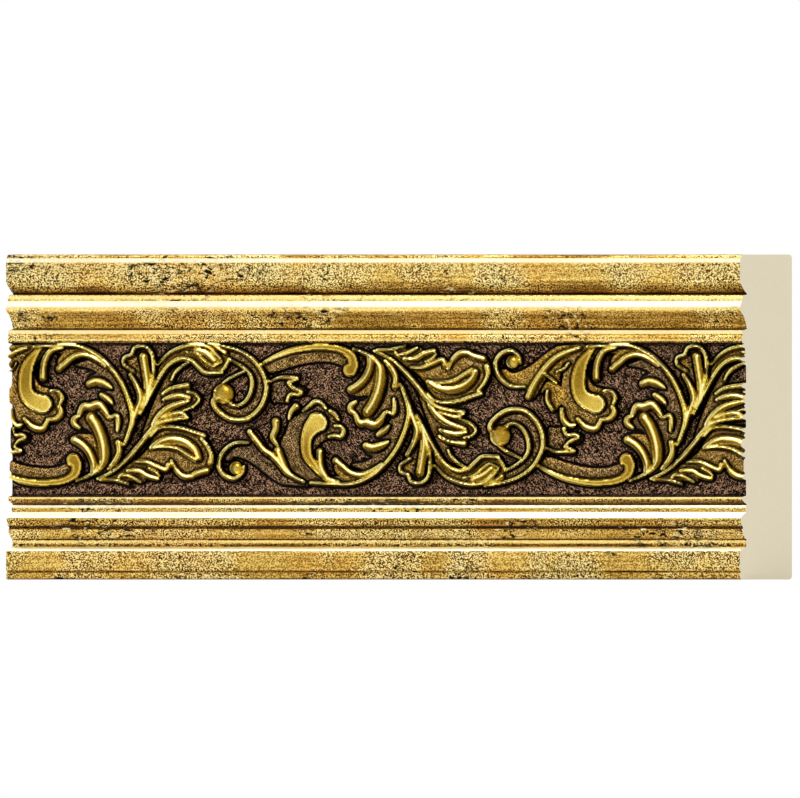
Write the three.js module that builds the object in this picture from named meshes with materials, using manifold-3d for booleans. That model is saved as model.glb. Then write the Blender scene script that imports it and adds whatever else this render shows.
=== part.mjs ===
// A length of gilt wall moulding: plain stepped rails above and below a sunk frieze of acanthus scrolls.
// Millimetres, +Z up. The flat back lies in the plane Y = 0 with the origin at its middle, and the face looks
// to -Y.
import * as THREE from "three";
import { mergeVertices } from "three/addons/utils/BufferGeometryUtils.js";
import Module from "manifold-3d";

// The strip as cut
const length = 225.8;
const faceHeight = 100;
const thickness = 16;
const backCornerRadius = 1;
const endWaste = 5;
const curveSegments = 4;

// Upper rail, from the top edge down. Each depth is measured back from the foremost plane.
const topEdgeRadius = 0.9;
const topBandHeight = 8.4;
const ogeeHeight = 2.7;
const ogeeDepth = 2.2;
const beadStepHeight = 1;
const beadFlatHeight = 2.5;
const beadDepth = 0.4;
const beadRoundHeight = 1.6;
const beadRoundDepth = 0.8;
const coveHeight = 5.6;
const coveDepth = 2.2;
const upperFilletStepHeight = 0.8;
const upperFilletHeight = 3.7;
const upperFilletDepth = 0.6;

// Lower rail, from the bottom edge up
const bottomEdgeRadius = 0.6;
const bottomBandHeight = 8.3;
const bottomRiseHeight = 1.8;
const bottomGrooveHeight = 1.8;
const bottomGrooveDepth = 2;
const torusCoveHeight = 6.6;
const torusCoveDepth = 1.5;
const torusDepth = 0.2;
const torusRiseHeight = 1.4;
const channelHeight = 2.6;
const channelDepth = 2;
const lowerCoveHeight = 1.5;
const lowerFilletHeight = 0.8;
const lowerFilletDepth = 0.6;

// How curved runs swell: the share of its height over which a convex run keeps to its first depth, and where
// a hollow run comes close to its last depth
const ogeeFullness = 0.55;
const beadFullness = 0.5;
const lowerCoveFullness = 0.6;
const riseFullness = 0.2;
const coveHollow = 0.3;
const torusHollow = 0.6;

// Scored lines along the rails
const scoreWidth = 0.6;
const scoreDepth = 0.35;
const scoreInBottomBand = 1.9;
const scoreInTorusCove = 2.9;
const scoreInUpperFillet = 1.3;

// Frieze
const friezeDepth = 1.9;
const friezeWallRun = 0.4;
const carvingRise = 1.8;
const firstUnitOffset = -1.85;

// The carving is drawn on a grid of steps. A unit of the scroll is unitSteps long, and every second unit is
// turned over about the ornament's own axis, which lies axisSteps below the top of the frieze.
const friezeSteps = 154;
const unitSteps = 276.5;
const axisSteps = 72;
const sinkShare = 0.15;
const chordSag = 0.35;
const turnLimit = 1;
const spanSamples = 8;
const wideRidgeSteps = 3;
const wideRidgeShoulder = 0.5;

// Leaf and ribbon grounds: [rise as a share of carvingRise, outline of [along, up] steps]
const leafBodies = [
  // main arc with its fringe of lobes
  [0.5, [[34, 66], [76, 68], [96, 59], [114, 40], [125, 19], [130, -3], [123, -30], [117, -14], [113, 4],
    [99, 20], [112, 24], [104, 31], [86, 31], [89, 39], [97, 42], [86, 54], [57, 47], [56, 56], [52, 62]]],
  // crowned leaf and the pointed leaf beside it
  [0.4, [[79, 6], [82, 13], [97, 13], [108, -2], [119, -1], [119, -34], [106, -56], [90, -62], [94, -46],
    [90, -28], [72, -20], [85, -14], [72, -7]]],
  [0.48, [[72, -21], [92, -22], [98, -50], [92, -59], [88, -38]]],
  // lower stem
  [0.42, [[-15, -50], [-8, -42], [10, -47], [30, -52], [50, -53], [74, -44], [78, -52], [66, -64], [42, -67],
    [18, -64], [0, -58]]],
  // finger leaf
  [0.45, [[124, 50], [124, 57], [136, 67], [146, 67], [153, 58], [153, 42], [141, 2], [126, -28], [132, -12],
    [140, 16], [134, 34]]],
  // top leaf and the fan below it
  [0.52, [[140, 0], [150, 28], [160, 53], [172, 64], [194, 71], [208, 69], [218, 60], [222, 42], [206, 41],
    [190, 55], [180, 56], [168, 49], [158, 34], [148, 14]]],
  [0.38, [[138, -30], [150, 8], [162, 34], [170, 46], [166, 24], [186, 31], [200, 16], [182, 3], [186, -5],
    [168, -6]]],
  // shell leaf
  [0.43, [[100, -66], [114, -58], [142, -38], [152, -22], [160, -14], [172, -11], [184, -12], [198, -18],
    [208, -30], [212, -44], [206, -58], [188, -63], [172, -50], [166, -56], [152, -52], [157, -65],
    [140, -68], [128, -71]]],
  // large scroll
  [0.46, [[204, 71], [222, 69], [241, 63], [256, 52], [265, 36], [266, 22], [260, 7], [247, -4], [230, -4],
    [213, 13], [231, 11], [240, 7], [250, 17], [251, 34], [241, 48], [228, 58]]],
  // small leaf behind the scroll
  [0.3, [[269, 33], [279, 38], [297, 38], [290, 32], [303, 24], [289, 17], [285, 12], [270, 14]]],
  // ribbon from the small scroll, with its two tongues
  [0.5, [[-56, 42], [-42, 29], [-30, 28], [-25, 15], [-8, 40], [4, 32], [6, 44], [14, 58], [34, 70], [8, 70],
    [-22, 51], [-32, 45], [-42, 42]]],
  [0.44, [[-14, 22], [-8, 33], [3, 31], [9, 24], [8, 14], [-1, 3], [-7, 12]]],
  // leaf under the bulb
  [0.4, [[26, 68], [12, 57], [8, 40], [6, 22], [8, 4], [12, -8], [19, -13], [30, -11], [40, -15], [60, -2],
    [63, 16], [50, 26], [38, 30], [32, 46], [44, 66]]],
];

// Raised rods, rims and veins: [half width at the start, middle and end in steps, rise as a share, path]
const ridges = [
  // main arc with its hooks and lobes
  [1.6, 2.1, 1.6, 1, [[34, 68], [51, 69], [76, 69], [98, 59], [116, 40], [127, 19], [132, -3], [127, -23],
    [123, -30]]],
  [1, 2.2, 3.6, 0.9, [[62, 67], [51, 64], [45, 55], [43, 45], [43, 37]]],
  [2.2, 2, 1.2, 0.9, [[59, 46], [65, 51], [74, 58], [85, 60], [95, 56], [105, 49]]],
  [1.8, 1.7, 0.9, 0.7, [[89, 32], [96, 33], [104, 31], [111, 27]]],
  [1, 1.5, 0.8, 0.7, [[101, 20], [107, 16], [112, 11]]],
  // crowned leaf
  [1.6, 3.2, 1.2, 0.8, [[79, 1], [83, 8], [90, 8], [98, 10], [104, 5], [108, -2]]],
  [1, 2.2, 1.2, 0.7, [[79, -1], [74, -4], [74, -9], [79, -13]]],
  [1.4, 2.4, 1.2, 0.8, [[110, -3], [116, -1], [118, -7], [117, -16]]],
  [3.6, 4.6, 1.8, 1, [[91, -2], [97, -12], [102, -25], [104, -37], [103, -47], [97, -56]]],
  [2.2, 1.6, 1, 0.8, [[119, -28], [119, -37], [115, -46], [108, -54]]],
  [1.6, 1.9, 1.6, 0.8, [[73, -23], [82, -30], [89, -38], [93, -49], [92, -58]]],
  [2.2, 1.8, 0.9, 0.8, [[99, -54], [91, -60], [76, -66]]],
  // lower stem
  [2.8, 3.4, 1.2, 1, [[68, -41], [74, -39], [79, -48], [76, -59], [62, -66], [40, -68], [18, -65], [0, -59],
    [-15, -51]]],
  // finger leaf
  [1.2, 1.8, 1.2, 0.9, [[133, 44], [124, 50], [124, 57], [131, 60], [135, 67], [145, 68], [152, 60],
    [153, 42], [149, 26], [143, 11]]],
  [2.6, 2.2, 1.4, 0.9, [[143, 59], [145, 45], [147, 30], [146, 18], [142, 8]]],
  [1.6, 2.9, 1.2, 1, [[130, 40], [136, 30], [140, 17], [137, 6], [133, -5], [130, -15], [124, -30]]],
  // top leaf
  [1.6, 2.1, 1.8, 1, [[140, 1], [149, 18], [158, 35], [168, 49], [180, 56], [191, 54], [199, 47], [206, 42],
    [221, 42]]],
  [0.8, 2, 1.2, 0.9, [[157, 50], [168, 61], [180, 67], [194, 70], [207, 68], [216, 60], [221, 54]]],
  [2.6, 4, 3, 0.9, [[196, 65], [206, 61], [214, 54]]],
  // fan of veins
  [0.7, 1.3, 2.8, 0.8, [[162, 21], [170, 26], [178, 28], [187, 29]]],
  [0.8, 1.9, 1.2, 0.8, [[163, 15], [172, 18], [181, 19], [189, 17]]],
  [1, 2.1, 1, 0.8, [[152, -10], [160, 0], [171, 8], [188, 14]]],
  [1, 2.4, 1.6, 1, [[97, -64], [112, -57], [125, -46], [138, -32], [149, -18], [158, -9], [171, -5],
    [187, -3]]],
  // shell leaf
  [1, 1.9, 2.2, 0.9, [[150, -22], [158, -14], [170, -12], [183, -14], [195, -18], [204, -21]]],
  [1.2, 1.8, 2.6, 0.9, [[201, -24], [207, -31], [211, -40], [210, -48]]],
  [2, 4.4, 3, 0.9, [[151, -33], [161, -27], [173, -25], [185, -28], [194, -35], [198, -43]]],
  [1, 1.7, 2, 0.7, [[134, -47], [145, -47], [155, -51], [165, -55], [168, -50]]],
  [1, 2, 3, 0.8, [[171, -46], [175, -54], [182, -61], [190, -62], [196, -59], [206, -56]]],
  [1, 2, 1.6, 0.7, [[127, -56], [138, -56], [147, -61], [157, -64]]],
  [1, 1.6, 1, 0.6, [[118, -63], [122, -60], [131, -62], [140, -67]]],
  [1, 1.5, 1, 0.6, [[100, -65], [113, -65], [128, -69]]],
  // large scroll
  [1.2, 2.3, 2.2, 1, [[208, 71], [222, 69], [241, 63], [256, 52], [265, 36], [266, 22], [260, 7], [247, -4],
    [230, -4], [217, 5], [213, 13], [218, 17], [230, 12]]],
  [1, 2.1, 1.4, 0.9, [[228, 56], [240, 48], [250, 34], [250, 20], [240, 8], [231, 11]]],
  [0.9, 1.4, 0.9, 0.7, [[221, 30], [229, 36], [243, 43]]],
  [1.6, 1.6, 1.2, 0.8, [[221, 43], [225, 48], [229, 56]]],
  [1, 2, 2.8, 0.8, [[212, 70], [218, 66], [224, 62]]],
  // small leaf behind the scroll
  [0.7, 1.4, 2, 0.6, [[269, 33], [279, 37], [296, 37]]],
  [1.4, 1.5, 1.6, 0.6, [[286, 31], [299, 27], [302, 21], [290, 19], [285, 14]]],
  // small scroll and ribbon
  [1.4, 2.2, 1.4, 0.9, [[-29, 28], [-43, 29], [-54, 38], [-58, 50], [-53, 60], [-43, 64], [-35, 59],
    [-33, 52]]],
  [2.8, 2.8, 1.4, 0.8, [[-25, 18], [-20, 29], [-11, 43], [0, 55], [12, 62], [26, 67]]],
  [1.2, 1.6, 1.6, 0.7, [[-6, 24], [-6, 14], [-1, 5]]],
  // bulb and the lobes round it
  [1.2, 5.6, 8.6, 0.95, [[46, 67], [35, 62], [26, 49], [24, 33], [29, 17], [41, 11]]],
  [1, 2, 1.2, 0.7, [[8, 6], [10, -5], [16, -11], [21, -10]]],
  [1, 2.1, 1.4, 0.7, [[24, -4], [32, -12], [42, -14], [47, -7]]],
  [1, 2, 1.4, 0.7, [[47, -5], [56, -4], [61, 2], [59, 8]]],
  [0.8, 1.9, 1.4, 0.7, [[50, 24], [58, 23], [62, 17], [60, 11]]],
];

// Round knobs: [along, up, radius, rise as a share]
const knobs = [
  [223, 21, 9.5, 1],
  [-41, 53, 6, 0.8],
  [42, 11, 8.9, 0.97],
];
const knobSides = 10;
const knobRings = 3;

const upperRailHeight =
  topEdgeRadius + topBandHeight + ogeeHeight + beadStepHeight + beadFlatHeight + beadRoundHeight +
  coveHeight + upperFilletStepHeight + upperFilletHeight;
const lowerRailHeight =
  bottomEdgeRadius + bottomBandHeight + bottomRiseHeight + bottomGrooveHeight + torusCoveHeight +
  torusRiseHeight + channelHeight + lowerCoveHeight + lowerFilletHeight;
const friezeHeight = faceHeight - upperRailHeight - lowerRailHeight;
const friezeTop = faceHeight / 2 - upperRailHeight;
const step = friezeHeight / friezeSteps;
const axisHeight = friezeTop - axisSteps * step;
const groundY = friezeDepth - thickness;

const wasm = await Module();
wasm.setup();

function solidOf(geometry) {
  const bare = geometry.index ? geometry.toNonIndexed() : geometry.clone();
  bare.deleteAttribute("normal");
  bare.deleteAttribute("uv");
  const merged = mergeVertices(bare, 1e-4);
  return new wasm.Manifold(
    new wasm.Mesh({
      numProp: 3,
      vertProperties: merged.attributes.position.array,
      triVerts: new Uint32Array(merged.index.array),
    }),
  );
}

function geometryOf(solid) {
  const mesh = solid.getMesh();
  const geometry = new THREE.BufferGeometry();
  geometry.setAttribute("position", new THREE.BufferAttribute(mesh.vertProperties, 3));
  geometry.setIndex(new THREE.BufferAttribute(mesh.triVerts, 1));
  const faceted = geometry.toNonIndexed();
  faceted.computeVertexNormals();
  return faceted;
}

// Section of the moulding, drawn round from its lower back corner. Its x is the world's Y, so the back is at
// 0 and the foremost plane at -thickness.
function sectionShape() {
  const shape = new THREE.Shape();
  const half = faceHeight / 2;
  const front = (depth) => depth - thickness;
  let height = half;
  const down = (run, depth) => {
    height -= run;
    shape.lineTo(front(depth), height);
  };
  const curveDown = (run, depth, pullShare, pullDepth) => {
    const pullHeight = height - run * pullShare;
    height -= run;
    shape.quadraticCurveTo(front(pullDepth), pullHeight, front(depth), height);
  };
  const score = (depth) => {
    down(scoreWidth / 2, depth + scoreDepth);
    down(scoreWidth / 2, depth);
  };
  const scoredRun = (run, scoreAt, scoreLevel, depth) => {
    down(scoreAt - scoreWidth / 2, scoreLevel);
    score(scoreLevel);
    down(run - scoreAt - scoreWidth / 2, depth);
  };

  shape.moveTo(0, backCornerRadius - half);
  shape.lineTo(0, half - backCornerRadius);
  shape.quadraticCurveTo(0, half, -backCornerRadius, half);
  shape.lineTo(front(topEdgeRadius), half);
  curveDown(topEdgeRadius, 0, 0, 0);
  down(topBandHeight, 0);
  curveDown(ogeeHeight, ogeeDepth, ogeeFullness, 0);
  down(beadStepHeight, beadDepth);
  down(beadFlatHeight, beadDepth);
  curveDown(beadRoundHeight, beadRoundDepth, beadFullness, beadDepth);
  curveDown(coveHeight, coveDepth, coveHollow, coveDepth);
  down(upperFilletStepHeight, upperFilletDepth);
  scoredRun(upperFilletHeight, scoreInUpperFillet, upperFilletDepth, upperFilletDepth);

  down(friezeWallRun, friezeDepth);
  down(friezeHeight - 2 * friezeWallRun, friezeDepth);
  down(friezeWallRun, lowerFilletDepth);

  down(lowerFilletHeight, lowerFilletDepth);
  curveDown(lowerCoveHeight, channelDepth, lowerCoveFullness, lowerFilletDepth);
  down(channelHeight, channelDepth);
  curveDown(torusRiseHeight, torusDepth, riseFullness, torusDepth);
  const hollowDepth = torusDepth + (torusCoveDepth - torusDepth) * torusHollow;
  scoredRun(torusCoveHeight, scoreInTorusCove, hollowDepth, torusCoveDepth);
  down(bottomGrooveHeight, bottomGrooveDepth);
  curveDown(bottomRiseHeight, 0, riseFullness, 0);
  scoredRun(bottomBandHeight, bottomBandHeight - scoreInBottomBand, 0, 0);
  curveDown(bottomEdgeRadius, bottomEdgeRadius, 1, 0);
  shape.lineTo(-backCornerRadius, -half);
  shape.quadraticCurveTo(0, -half, 0, backCornerRadius - half);
  return shape;
}

function stripSolid() {
  const depth = length + 2 * endWaste;
  const geometry = new THREE.ExtrudeGeometry(sectionShape(), { depth, bevelEnabled: false, curveSegments });
  geometry.translate(0, 0, -depth / 2);
  geometry.applyMatrix4(
    new THREE.Matrix4().makeBasis(
      new THREE.Vector3(0, 1, 0),
      new THREE.Vector3(0, 0, 1),
      new THREE.Vector3(1, 0, 0),
    ),
  );
  return solidOf(geometry);
}

// Where a grid point of the given unit lies on the face, as a 2D vector of world X and Z
function placed([along, up], unit) {
  const turned = unit % 2 ? -up : up;
  return new THREE.Vector2(
    firstUnitOffset - length / 2 + (along + unit * unitSteps) * step,
    axisHeight + turned * step,
  );
}

const riseToY = (share) => groundY - share * carvingRise;

// A leaf's ground as a flat plate standing out of the frieze
function plateSolid(share, outline, unit) {
  const shape = new THREE.Shape(outline.map((point) => placed(point, unit)));
  const sink = sinkShare * carvingRise;
  const depth = share * carvingRise + sink;
  const geometry = new THREE.ExtrudeGeometry(shape, { depth, bevelEnabled: false });
  geometry.rotateX(Math.PI / 2);
  geometry.translate(0, groundY + sink, 0);
  return solidOf(geometry);
}

// Stations along a path, set so that a chord between two stands off the curve by chordSag at most
function stationsOf(path) {
  const curve = new THREE.SplineCurve(path);
  const count = spanSamples * (path.length - 1);
  const stations = [{ at: 0, point: curve.getPoint(0), tangent: curve.getTangent(0) }];
  let before = stations[0].point;
  let run = 0;
  for (let i = 1; i <= count; i++) {
    const at = i / count;
    const point = curve.getPoint(at);
    const tangent = curve.getTangent(at);
    run += point.distanceTo(before);
    before = point;
    const turn = tangent.angleTo(stations[stations.length - 1].tangent);
    const sag = (run * turn) / 8;
    if (i === count || sag > chordSag || turn > turnLimit) {
      stations.push({ at, point, tangent });
      run = 0;
    }
  }
  return stations;
}

// A half width that runs from one value through another to a third
function swell(start, middle, end, at) {
  const side = at < 0.5 ? start : end;
  return side + (middle - side) * Math.sin(Math.PI * at);
}

function ridgeSolid([start, middle, end, share, path], unit) {
  const widest = Math.max(start, middle, end);
  const shoulder = widest < wideRidgeSteps ? 0 : wideRidgeShoulder;
  const rings = stationsOf(path.map((point) => placed(point, unit))).map(({ at, point, tangent }) => {
    const half = swell(start, middle, end, at) * step;
    const rise = share * Math.sqrt(half / (widest * step));
    const foot = 1 + ((1 - shoulder) * sinkShare) / rise;
    const crest = shoulder === 0 ? [[0, rise]] : [[-shoulder, rise], [shoulder, rise]];
    const section = [[-foot, -sinkShare], ...crest, [foot, -sinkShare]];
    return section.map(([side, up]) => [
      point.x - tangent.y * side * half,
      riseToY(up),
      point.y + tangent.x * side * half,
    ]);
  });
  return loftSolid(rings);
}

// Closes a row of rings, each the same number of corners, into one solid
function loftSolid(rings) {
  const around = rings[0].length;
  const triangles = [];
  for (let i = 0; i + 1 < rings.length; i++) {
    for (let j = 0; j < around; j++) {
      const next = (j + 1) % around;
      const near = i * around;
      const far = near + around;
      const [a, b, c, d] = [near + j, near + next, far + next, far + j];
      triangles.push(a, c, b, a, d, c);
    }
  }
  const last = (rings.length - 1) * around;
  for (let j = 1; j + 1 < around; j++) {
    triangles.push(0, j, j + 1, last, last + j + 1, last + j);
  }
  const geometry = new THREE.BufferGeometry();
  geometry.setAttribute("position", new THREE.Float32BufferAttribute(rings.flat(2), 3));
  geometry.setIndex(triangles);
  return solidOf(geometry);
}

function knobSolid([along, up, radius, share], unit) {
  const centre = placed([along, up], unit);
  const sink = sinkShare * carvingRise;
  const profile = [new THREE.Vector2(0, -sink), new THREE.Vector2(radius * step, -sink)];
  for (let i = 1; i <= knobRings; i++) {
    const angle = (i / knobRings) * (Math.PI / 2);
    const out = i === knobRings ? 0 : Math.cos(angle) * radius * step;
    profile.push(new THREE.Vector2(out, Math.sin(angle) * share * carvingRise));
  }
  const geometry = new THREE.LatheGeometry(profile, knobSides);
  geometry.rotateX(Math.PI);
  geometry.translate(centre.x, groundY, centre.y);
  return solidOf(geometry);
}

function boxSolid(size, centre) {
  const geometry = new THREE.BoxGeometry(...size);
  geometry.translate(...centre);
  return solidOf(geometry);
}

// The units that reach into the cut length, one more at each end because leaves overhang their own unit
function unitNumbers() {
  const reach = length / (unitSteps * step);
  return Array.from({ length: Math.ceil(reach) + 2 }, (_, i) => i - 1);
}

function carvingSolids(unit) {
  return [
    ...leafBodies.map(([share, outline]) => plateSolid(share, outline, unit)),
    ...ridges.map((ridge) => ridgeSolid(ridge, unit)),
    ...knobs.map((knob) => knobSolid(knob, unit)),
  ];
}

function mouldingSolid() {
  const friezeMiddle = friezeTop - friezeHeight / 2;
  const frieze = boxSolid([2 * length, thickness, friezeHeight], [0, -thickness / 2, friezeMiddle]);
  const cutLength = boxSolid([length, 2 * thickness, 2 * faceHeight], [0, -thickness / 2, 0]);
  const carving = unitNumbers()
    .flatMap(carvingSolids)
    .reduce((joined, piece) => joined.add(piece));
  return stripSolid().add(carving.intersect(frieze)).intersect(cutLength);
}

const gilt = new THREE.MeshStandardMaterial({ color: 0xbe9d51, metalness: 0.85, roughness: 0.35 });
const moulding = new THREE.Mesh(geometryOf(mouldingSolid()), gilt);
moulding.name = "moulding";

const group = new THREE.Group();
group.add(moulding);

export default group;
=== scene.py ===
# A length of gilt wall moulding with a carved frieze of acanthus scrolls, dressed for rendering.
import math

import bpy
import numpy as np
from mathutils import Matrix, Vector


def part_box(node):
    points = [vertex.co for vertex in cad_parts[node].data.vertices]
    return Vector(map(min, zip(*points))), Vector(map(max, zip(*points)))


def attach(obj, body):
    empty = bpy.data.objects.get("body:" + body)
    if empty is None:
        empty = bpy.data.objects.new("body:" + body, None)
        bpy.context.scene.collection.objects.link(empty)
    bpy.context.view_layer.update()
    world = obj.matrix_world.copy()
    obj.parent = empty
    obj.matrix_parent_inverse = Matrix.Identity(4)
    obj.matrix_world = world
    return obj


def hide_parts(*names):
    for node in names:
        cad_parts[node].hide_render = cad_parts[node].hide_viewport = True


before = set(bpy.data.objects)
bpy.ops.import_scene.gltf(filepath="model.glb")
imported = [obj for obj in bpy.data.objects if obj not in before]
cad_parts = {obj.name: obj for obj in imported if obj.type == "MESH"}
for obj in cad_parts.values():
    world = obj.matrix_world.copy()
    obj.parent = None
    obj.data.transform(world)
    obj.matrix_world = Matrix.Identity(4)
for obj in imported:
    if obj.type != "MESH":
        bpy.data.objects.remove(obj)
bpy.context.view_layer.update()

# Sizes of the solid, in millimetres
MM = 0.001
NODE = "moulding"
LOW, HIGH = (Vector(corner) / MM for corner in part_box(NODE))
LENGTH = HIGH.x - LOW.x
FACE_HEIGHT = HIGH.z - LOW.z
THICKNESS = HIGH.y - LOW.y
BACK_CORNER = 1.0
SEED = 7

# Stations of the section down each rail: (distance below the rail's top, depth, tone), in millimetres.
# A tone of 0 is black, 0.25 olive, 0.5 clean gold, 0.75 pale gold and 1 white. The pale and white rows
# are painted highlights on members that tilt towards the light, and the olive and black rows are painted
# shade and grime in the coves and grooves.
UPPER_RAIL = [
    (0.0, 0.8, 0.34), (0.3, 0.5, 0.36), (0.7, 0.32, 0.40), (1.05, 0.24, 0.46), (1.3, 0.16, 0.95),
    (2.3, 0.02, 1.0), (2.6, 0.0, 0.72), (3.1, 0.0, 0.60), (7.9, 0.0, 0.58), (8.4, 0.05, 0.45),
    (9.6, 0.55, 0.32), (10.8, 1.2, 0.23), (11.7, 1.85, 0.12), (12.1, 2.2, 0.0), (12.35, 2.1, 0.05),
    (12.55, 0.95, 0.66), (13.2, 0.75, 0.83), (13.8, 0.62, 0.78), (14.15, 0.58, 0.58), (14.45, 0.5, 0.95),
    (15.2, 0.28, 1.0), (15.9, 0.1, 1.0), (16.4, 0.03, 0.80), (16.95, 0.0, 0.75), (17.3, 0.08, 0.60),
    (17.9, 0.4, 0.42), (18.6, 0.95, 0.32), (19.6, 1.4, 0.34), (21.0, 1.8, 0.35), (22.6, 2.1, 0.34),
    (22.85, 2.15, 0.06), (23.15, 1.6, 0.10), (23.35, 0.75, 0.86), (24.2, 0.6, 0.89), (24.55, 0.66, 0.60),
    (24.8, 0.85, 0.34), (25.05, 0.62, 0.50), (25.8, 0.6, 0.53), (26.05, 0.6, 0.70), (26.5, 0.6, 0.72),
    (26.75, 0.66, 0.24), (27.2, 0.75, 0.02),
]
LOWER_RAIL = [
    (0.0, 0.7, 0.30), (0.15, 0.6, 0.86), (0.5, 0.6, 0.82), (0.75, 0.65, 0.46), (1.1, 0.8, 0.34),
    (1.8, 1.5, 0.17), (2.25, 2.05, 0.04), (2.45, 2.05, 0.06), (2.6, 1.95, 0.96), (3.2, 1.75, 1.0),
    (3.45, 1.72, 0.62), (3.9, 1.8, 0.44), (4.2, 1.82, 0.54), (4.6, 1.8, 0.58), (4.85, 1.75, 0.96),
    (5.5, 1.0, 1.0), (6.0, 0.5, 1.0), (6.35, 0.3, 0.96), (6.6, 0.2, 0.52), (7.0, 0.2, 0.48),
    (7.35, 0.28, 0.30), (7.7, 0.34, 0.36), (8.2, 0.42, 0.44), (8.8, 0.5, 0.36), (9.0, 0.8, 0.10),
    (9.4, 0.95, 0.06), (9.9, 0.85, 0.12), (10.1, 0.62, 0.48), (11.0, 0.85, 0.54), (12.0, 1.2, 0.51),
    (12.75, 1.6, 0.44), (12.95, 1.95, 0.10), (13.25, 2.0, 0.20), (13.45, 1.95, 0.79), (14.0, 1.85, 0.77),
    (14.35, 1.85, 0.52), (14.6, 1.95, 0.26), (15.1, 2.0, 0.24), (15.35, 1.7, 0.60), (15.6, 1.2, 1.0),
    (16.2, 0.35, 1.0), (16.5, 0.08, 0.98), (16.75, 0.0, 0.57), (19.5, 0.0, 0.53), (22.6, 0.0, 0.53),
    (22.85, 0.3, 0.27), (23.15, 0.3, 0.24), (23.4, 0.0, 0.50), (24.9, 0.0, 0.50), (25.15, 0.15, 0.40),
    (25.4, 0.5, 0.12),
]

# Frieze, in millimetres. Its ornament is given in steps, of which FRIEZE_STEPS make up its height.
FRIEZE_TOP = FACE_HEIGHT / 2 - UPPER_RAIL[-1][0]
FRIEZE_BOTTOM = LOWER_RAIL[-1][0] - FACE_HEIGHT / 2
FRIEZE_DEPTH = 1.9
CARVING_RISE = 1.8
FIRST_UNIT_OFFSET = -1.85
FRIEZE_STEPS = 154
UNIT_STEPS = 276.5
AXIS_STEPS = 72
STEP = (FRIEZE_TOP - FRIEZE_BOTTOM) / FRIEZE_STEPS
AXIS_HEIGHT = FRIEZE_TOP - AXIS_STEPS * STEP

# Mesh: one column of a rail spans COLUMN_RATIO columns of the frieze
CELL = 0.38
COLUMN_RATIO = 3
RAIL_COLUMNS = round(LENGTH / CELL / COLUMN_RATIO)
FRIEZE_COLUMNS = RAIL_COLUMNS * COLUMN_RATIO
FRIEZE_ROWS = round((FRIEZE_TOP - FRIEZE_BOTTOM) / CELL)

# Camera, straight on to the face, with its rays slanted so that the cut end at the right shows too.
# CENTRE is the middle of the picture on the face, in millimetres, and the distance is in metres.
IMAGE_WIDTH = 800
PIXELS_PER_MM = 3.25
CENTRE = (8.31, 5.54)
SLANT = 1.0
CAMERA_DISTANCE = 0.5

# Floor, in metres, and the glow of the studio from straight down to straight up
FLOOR_HALF = 2.0
FLOOR_COLOUR = (0.8, 0.79, 0.77, 1)
FLOOR_ROUGHNESS = 0.7
STUDIO_GLOW = [(0.0, 0.3), (0.42, 0.45), (0.5, 0.95), (0.8, 0.92)]

# The carving leans sideways by LEAN for each millimetre of depth past CREST_DEPTH
LEAN = 0.7
CREST_DEPTH = 0.1

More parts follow.
